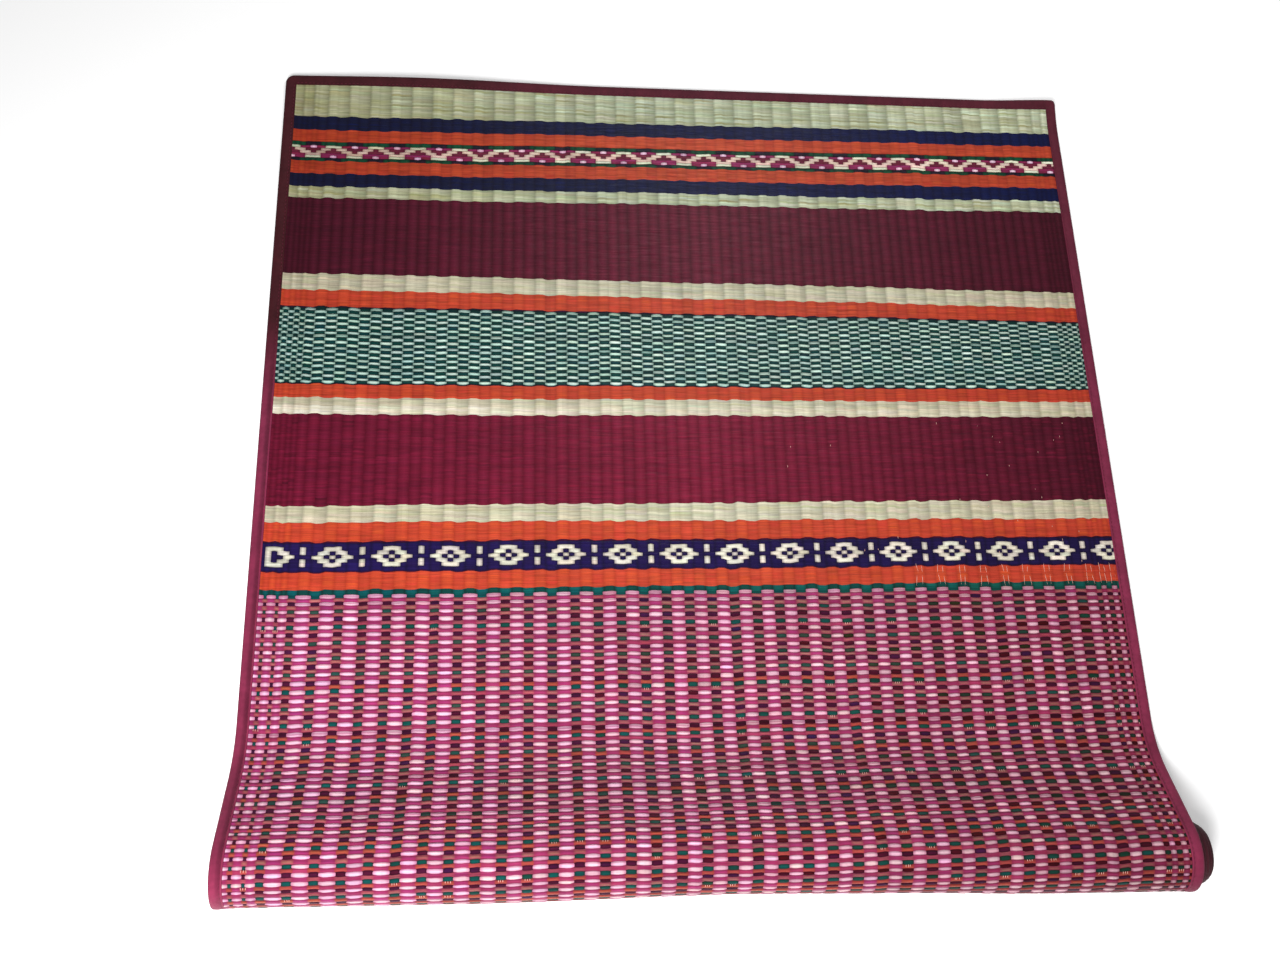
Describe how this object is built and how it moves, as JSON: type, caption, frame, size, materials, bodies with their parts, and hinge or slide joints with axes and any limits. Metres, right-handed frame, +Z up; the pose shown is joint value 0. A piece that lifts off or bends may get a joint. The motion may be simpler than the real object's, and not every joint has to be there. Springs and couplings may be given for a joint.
{
  "type": "woven grass yoga mat, part rolled",
  "caption": "Striped woven grass floor mat with a cloth edge binding, laid flat with its near end wound under into a low oval roll.",
  "frame": {"origin": "on the underside, at the middle of the mat's width, 388 mm in from its flat far edge", "axes": "+X across the mat to its right side, +Y along the mat to its flat far end, +Z up from the floor"},
  "size_m": [0.7796, 0.7502, 0.0457],
  "materials": {
    "woven_grass": "dyed and plain split grass wefts over thin cotton warps, low sheen",
    "binding_cloth": "wine red woven cotton tape, matt, machine sewn"
  },
  "bodies": {
    "root": {"woven_panel": "woven_grass", "edge_binding": "binding_cloth"}
  },
  "joints": []
}
